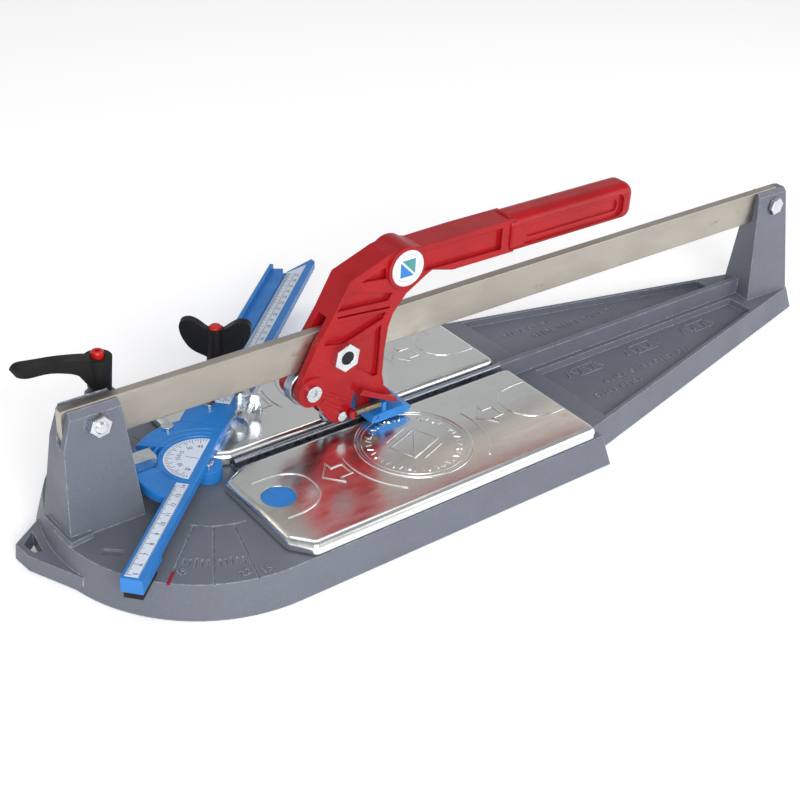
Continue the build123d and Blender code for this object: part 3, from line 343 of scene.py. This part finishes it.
def slab(bm, points, low, high, place=as_given):
    """Adds a flat prism over a polygon of (x, y), from low to high."""
    under = [bm.verts.new(place(x, y, low)) for x, y in points]
    over = [bm.verts.new(place(x, y, high)) for x, y in points]
    bm.faces.new(list(reversed(under)))
    bm.faces.new(over)
    count = len(points)
    for i in range(count):
        j = (i + 1) % count
        bm.faces.new((under[i], under[j], over[j], over[i]))


def bar_points(x, y, angle, length, width):
    """Corners of a rectangle centred on (x, y), turned by angle."""
    c, s = cos(angle), sin(angle)
    return [(x + c * a - s * b, y + s * a + c * b)
            for a, b in ((-length / 2, -width / 2), (length / 2, -width / 2),
                         (length / 2, width / 2), (-length / 2, width / 2))]


def arc(cx, cy, radius, start, end, steps=48):
    """Points on an arc from start to end, in degrees."""
    return [(cx + radius * cos(radians(start + (end - start) * i / steps)),
             cy + radius * sin(radians(start + (end - start) * i / steps))) for i in range(steps + 1)]


def ring(cx, cy, radius, steps=96):
    """Points of a full circle, without the repeated last one."""
    return arc(cx, cy, radius, 0, 360, steps)[:-1]


def smooth(points, steps=10):
    """Catmull-Rom curve through points."""
    ends = [points[0], *points, points[-1]]
    out = []
    for i in range(1, len(ends) - 2):
        p0, p1, p2, p3 = (Vector(p) for p in ends[i - 1:i + 3])
        for k in range(steps):
            t = k / steps
            out.append(tuple(0.5 * (2 * p1 + (p2 - p0) * t + (2 * p0 - 5 * p1 + 4 * p2 - p3) * t * t
                                    + (3 * p1 - p0 - 3 * p2 + p3) * t ** 3)))
    return out + [tuple(points[-1])]


def on_fence(u, v, h):
    """Fence coordinates (along, left, up) to the row frame."""
    c, s = cos(FENCE_TURN), sin(FENCE_TURN)
    return (PIVOT[0] + u * c - v * s, PIVOT[1] + u * s + v * c, h)


def figures(bm, words, x, y, angle, size, low, high, place=as_given):
    """Adds generic numbers as thin raised type, centred on (x, y)."""
    curve = bpy.data.curves.new("figures", "FONT")
    curve.body = words
    curve.size = size
    curve.align_x = "CENTER"
    curve.align_y = "CENTER"
    curve.resolution_u = 3
    holder = bpy.data.objects.new("figures", curve)
    scene.collection.objects.link(holder)
    bpy.context.view_layer.update()
    flat = bpy.data.meshes.new_from_object(holder)
    bpy.data.objects.remove(holder)
    bpy.data.curves.remove(curve)
    part = bmesh.new()
    part.from_mesh(flat)
    bpy.data.meshes.remove(flat)
    bmesh.ops.remove_doubles(part, verts=part.verts, dist=size * 0.002)
    made = bmesh.ops.extrude_face_region(part, geom=list(part.faces))
    for v in (g for g in made["geom"] if isinstance(g, bmesh.types.BMVert)):
        v.co.z = 1.0
    c, s = cos(angle), sin(angle)
    index = {}
    for v in part.verts:
        h = high if v.co.z > 0.5 else low
        index[v] = bm.verts.new(place(x + c * v.co.x - s * v.co.y, y + s * v.co.x + c * v.co.y, h))
    for f in part.faces:
        bm.faces.new([index[v] for v in f.verts])
    part.free()


# ------------------------------------------------------------------ pressed relief on the two plates
def plate_relief(name, body, side):
    """Beads pressed up from a plate: round emblem, arrows, arcs and open loops."""
    flip = -side
    cx, cy = EMBLEM
    bm = bmesh.new()

    def bead(path, width, height, closed=False):
        ridge(bm, [(x, y * flip) for x, y in path], width, height, PLATE_TOP, closed)

    bead(ring(cx, cy, EMBLEM_RADIUS), 2.8, 0.65, closed=True)
    bead(ring(cx, cy, EMBLEM_INNER), 1.0, 0.35, closed=True)
    for end in (1, -1):
        def at(x, y):
            return (cx + end * (x - cx), y)
        bead([at(*p) for p in arc(cx, cy, SIDE_ARC_RADIUS, -48, 13)], 1.9, 0.6)
        bead([at(*p) for p in smooth(OPEN_LOOP)], 1.9, 0.6)
    for shift in (0.0, ARROW_SHIFT):
        bead([(x + shift, y) for x, y in ARROW], 1.6, 0.65, closed=True)
    # ring of stars and short strokes inside the emblem
    for k in range(EMBLEM_MARKS):
        angle = 2 * pi * k / EMBLEM_MARKS
        x, y = cx + EMBLEM_MARK_RADIUS * cos(angle), cy + EMBLEM_MARK_RADIUS * sin(angle)
        if k % 5 == 0:
            star = [(x + r * cos(angle + pi * j / 5), y + r * sin(angle + pi * j / 5))
                    for j, r in ((j, 2.4 if j % 2 == 0 else 1.1) for j in range(10))]
            slab(bm, [(a, b * flip) for a, b in star], PLATE_TOP - 0.1, PLATE_TOP + 0.5)
        else:
            tilt = angle + (0.35 if k % 2 else -0.35)
            dx, dy = 2.1 * cos(tilt), 2.1 * sin(tilt)
            bead([(x - dx, y - dy), (x, y), (x + dx, y + dy)], 1.2, 0.5)
    # split tile at the centre of the emblem, with a bar above and below it
    tile = bar_points(cx, cy, EMBLEM_TILT, 30, 20)
    bead(tile, 1.3, 0.6, closed=True)
    bead([tile[0], ((tile[0][0] + tile[2][0]) / 2, (tile[0][1] + tile[2][1]) / 2), tile[2]], 1.3, 0.6)
    c, s = cos(EMBLEM_TILT), sin(EMBLEM_TILT)
    for shift in (-15.5, 15.5):
        mx, my = cx - s * shift, cy + c * shift
        bead([(mx - 11 * c, my - 11 * s), (mx, my), (mx + 11 * c, my + 11 * s)], 1.2, 0.5)
    return piece(name, bm, body, "bright_sheet", 50)


plate_relief("near_plate_relief", "near_plate", -1)
plate_relief("far_plate_relief", "far_plate", 1)


# ------------------------------------------------------------------ cast marks on the base
def deck_marks():
    """Cast figures between the engraved lines of the angle sectors."""
    bm = bmesh.new()
    for side in (-1, 1):
        for words, angle in (("45", 225), ("15", 255), ("22", 247.5)):
            a = radians(side * angle)
            x = PIVOT[0] + FIGURE_REACH * cos(a) + 6.5
            y = -side * PIVOT[1] + FIGURE_REACH * sin(a)
            figures(bm, words, x, y, 0.0, 8.0, DECK - 0.2, DECK + 0.6)
    return piece("deck_figures", bm, "base", "base_paint", 30)


def deck_red_mark():
    """Short painted bar at the 45 degree line of each sector."""
    bm = bmesh.new()
    for side in (-1, 1):
        a = radians(side * 225)
        middle = (PIVOT[0] + RED_MARK_REACH * cos(a), -side * PIVOT[1] + RED_MARK_REACH * sin(a))
        slab(bm, bar_points(*middle, a, 12, 2.2), DECK - 0.6, DECK + 0.06)
    return piece("deck_red_mark", bm, "base", "print_red")


deck_marks()
deck_red_mark()


def tail_marks():
    """Rows of short cast strokes on the two pocket floors."""
    bm = bmesh.new()

    def stroke(path, width, closed=False):
        ridge(bm, path, width, 0.9, TAIL_FLOOR, closed=closed)

    for side in (-1, 1):
        for start in (150, 214, 280):
            y = side * 20.0
            for k in range(6):
                x = start + k * 6.5
                lean = (1.6, -1.6)[k % 2]
                stroke([(x - lean, y - 4), (x, y), (x + lean, y + 4)], 1.5)
            for edge in (-5.8, 5.8):
                stroke([(start + 8, y + edge), (start + 18, y + edge), (start + 30, y + edge)], 1.1)
        for y, start, count in ((42.0, 170, 21), (54.0, 148, 12)):
            for k in range(count):
                x = start + k * 4.6
                if k % 6 == 5:
                    continue
                if k % 3 == 0:
                    stroke(ring(x, side * y, 1.7, 12), 1.0, closed=True)
                else:
                    stroke([(x, side * y - 2.6), (x + 0.3, side * y), (x, side * y + 2.6)], 1.2)
    return piece("tail_marks", bm, "base", "base_paint", 50)


tail_marks()


# ------------------------------------------------------------------ printed scales on the fence
def ink(bm, points):
    """Adds one thin printed polygon, given in fence coordinates."""
    slab(bm, points, INK_LOW, INK_HIGH, on_fence)


def ruler_print(name, first, ticks, v0, v1, half, lengths, line, number, numbers, shift, rise, size):
    """Millimetre ticks hanging from v1, a ruled line, and centimetre numbers above v0.

    half is half a tick's width, lengths are those of the ticks at 10, 5 and 1 mm, line is its start, end,
    foot and width, and shift(k) moves number k along the rule.
    """
    bm = bmesh.new()
    for k in range(ticks):
        u = first + k
        low = v1 - lengths[0 if k % 10 == 0 else 1 if k % 5 == 0 else 2]
        ink(bm, [(u - half, low), (u + half, low), (u + half, v1), (u - half, v1)])
    start, end, foot, wide = line
    ink(bm, [(start, foot), (end, foot), (end, foot + wide), (start, foot + wide)])
    for k in range(numbers):
        u = first + 10 * k + shift(k)
        figures(bm, str(k + number), u, v0 + rise, 0.0, size, INK_LOW, INK_HIGH, on_fence)
    return piece(name, bm, "fence", "print_dark", smooth_deg=20)


def angle_scale_print():
    """Ticks, figures and a pointer line on the half-round dial."""
    bm = bmesh.new()
    cx, cy = DIAL_CENTRE
    for k in range(1, 36):
        a = pi * k / 36
        long = 5.0 if k % 3 == 0 else 2.4
        r = 22.6 - long / 2
        ink(bm, bar_points(cx + r * cos(a), cy + r * sin(a), a, long, 0.35))
    for k, words in ((3, "45"), (9, "30"), (15, "15"), (18, "0"), (21, "15"), (27, "30"), (33, "45")):
        a = pi * k / 36
        figures(bm, words, cx + 13.8 * cos(a), cy + 13.8 * sin(a), a - pi / 2, 4.2, INK_LOW, INK_HIGH, on_fence)
    ink(bm, bar_points(cx, cy + 5, pi / 2, 9, 0.4))
    return piece("angle_scale_print", bm, "fence", "print_dark", smooth_deg=20)


def dial_ridges():
    """Raised arcs round the dial; the outer two stay lower than the clamp shoe."""
    bm = bmesh.new()
    for radius, width, height, last in ((26.6, 1.4, 0.85, 178), (31.0, 1.9, 0.34, 96), (36.0, 1.9, 0.32, 96)):
        ridge(bm, arc(*DIAL_CENTRE, radius, 2, last), width, height, FENCE_TOP, place=on_fence)
    return piece("dial_ridges", bm, "fence", "blue_plastic", 50)


ruler_print("near_scale_print", first=-125.5, ticks=91, v0=2.4, v1=10.8, half=0.16, lengths=(4.0, 2.6, 1.5),
            line=(-126.8, -32.5, 2.4, 0.25), number=5, numbers=10, shift=lambda k: 0 if k else 1.4, rise=2.5,
            size=4.2)
ruler_print("far_scale_print", first=69.0, ticks=203, v0=4.4, v1=15.4, half=0.17, lengths=(4.6, 3.4, 2.2),
            line=(67, 273, 9.6, 0.3), number=7, numbers=21, shift=lambda k: 1.0, rise=2.6, size=4.4)
angle_scale_print()
dial_ridges()


# ------------------------------------------------------------------ hub badges
def badge_art(side):
    """Generic split-tile motif on a hub disc."""
    hub_x, hub_z = HUB_CENTRE
    face = side * HUB_FACE
    where = "near" if side < 0 else "far"

    def place(x, y, h):
        return (hub_x + x, face + side * h, hub_z + y)

    for name, mat, shape in (
        ("blue", "blue_plastic", [(-6.2, -6.2), (5.2, -6.2), (-6.2, 5.2)]),
        ("teal", "print_teal", [(6.2, 6.2), (-5.2, 6.2), (6.2, -5.2)]),
    ):
        bm = bmesh.new()
        slab(bm, shape, -0.05, 0.06, place)
        piece(f"badge_{name}_{where}", bm, "handle", mat, smooth_deg=20)
    bm = bmesh.new()
    ridge(bm, ring(0, 0, 9.8, 64), 0.7, 0.05, 0.0, closed=True, sink=0.03, place=place)
    ridge(bm, ring(0, 0, 12.6, 64), 1.2, 0.35, 0.0, closed=True, sink=0.1, place=place)
    return piece(f"badge_rim_{where}", bm, "handle", "badge", 50)


badge_art(-1)
badge_art(1)


# ------------------------------------------------------------------ stage, light and camera
# this part is in metres
FLOOR_RADIUS = 9.0
FLOOR_DROP = 0.0005
FLOOR_GLOW = 0.22
SKY_STRENGTH = 0.72
SKY_LOW = (0.95, 0.95, 0.95, 1)
SKY_HIGH = (0.42, 0.43, 0.45, 1)
SKY_BETWEEN = ((0.30, 0.78), (0.52, 0.72), (0.70, 0.50))    # place on the ramp, grey value
LIGHTS = (    # name, place, target, size, watts
    ("key", (-0.9, -1.9, 1.1), (0.05, 0, 0.05), (1.5, 1.0), 46),
    ("fill", (1.5, -1.2, 0.8), (0.05, 0, 0.05), (1.4, 1.0), 9),
    ("top", (0.2, 0.5, 2.2), (0.05, 0, 0.0), (2.0, 1.2), 12),
)
CAMERA_PLACE = (-0.5220, -0.6438, 0.5522)
CAMERA_RIGHT = (0.78845, -0.61254, 0.05596)
CAMERA_UP = (0.28413, 0.44339, 0.85010)
CAMERA_LENS = 61.02
CAMERA_SHIFT = (-0.0222, -0.0152)


def stage_floor():
    """Wide pale disc under the object, glowing a little so that it stays white."""
    bm = bmesh.new()
    bmesh.ops.create_circle(bm, cap_ends=True, segments=64, radius=FLOOR_RADIUS)
    mesh = bpy.data.meshes.new("floor")
    bm.to_mesh(mesh)
    bm.free()
    floor = bpy.data.objects.new("floor", mesh)
    scene.collection.objects.link(floor)
    s = Shader("floor", (0.92, 0.92, 0.92), 0.9, specular=0.0)
    s.bsdf.inputs["Emission Color"].default_value = (1.0, 1.0, 1.0, 1.0)
    s.bsdf.inputs["Emission Strength"].default_value = FLOOR_GLOW
    floor.data.materials.append(s.mat)
    floor.location = (0, 0, -FLOOR_DROP)


def area_light(name, spot, target, size, power):
    """Rectangular soft light at spot, turned towards target."""
    data = bpy.data.lights.new(name, "AREA")
    data.shape = "RECTANGLE"
    data.size, data.size_y = size
    data.energy = power
    obj = bpy.data.objects.new(name, data)
    scene.collection.objects.link(obj)
    obj.location = spot
    obj.rotation_mode = "QUATERNION"
    obj.rotation_quaternion = (Vector(target) - Vector(spot)).to_track_quat("-Z", "Y")


def studio():
    """Pale surroundings, darker towards the zenith, and three soft lights."""
    world = bpy.data.worlds.new("studio")
    scene.world = world
    world.use_nodes = True
    nodes, links = world.node_tree.nodes, world.node_tree.links
    back = nodes["Background"]
    coords = nodes.new("ShaderNodeTexCoord")
    split = nodes.new("ShaderNodeSeparateXYZ")
    ramp = nodes.new("ShaderNodeValToRGB")
    links.new(coords.outputs["Generated"], split.inputs["Vector"])
    links.new(split.outputs["Z"], ramp.inputs["Fac"])
    links.new(ramp.outputs["Color"], back.inputs["Color"])
    ramp.color_ramp.elements[0].position = 0.0
    ramp.color_ramp.elements[0].color = SKY_LOW
    ramp.color_ramp.elements[1].position = 1.0
    ramp.color_ramp.elements[1].color = SKY_HIGH
    for position, value in SKY_BETWEEN:
        e = ramp.color_ramp.elements.new(position)
        e.color = (value, value, value * 1.02, 1)
    back.inputs["Strength"].default_value = SKY_STRENGTH
    for light in LIGHTS:
        area_light(*light)


def camera():
    """Camera that sees the object from its near front side, from above."""
    data = bpy.data.cameras.new("camera")
    data.sensor_width = 36.0
    data.lens = CAMERA_LENS
    data.shift_x, data.shift_y = CAMERA_SHIFT
    data.clip_start = 0.01
    obj = bpy.data.objects.new("camera", data)
    scene.collection.objects.link(obj)
    right, up = Vector(CAMERA_RIGHT), Vector(CAMERA_UP)
    back = right.cross(up)
    turn = Matrix((right, up, back)).transposed()
    obj.matrix_world = Matrix.Translation(CAMERA_PLACE) @ turn.to_4x4()
    scene.camera = obj


stage_floor()
studio()
camera()
scene.view_settings.view_transform = "Standard"
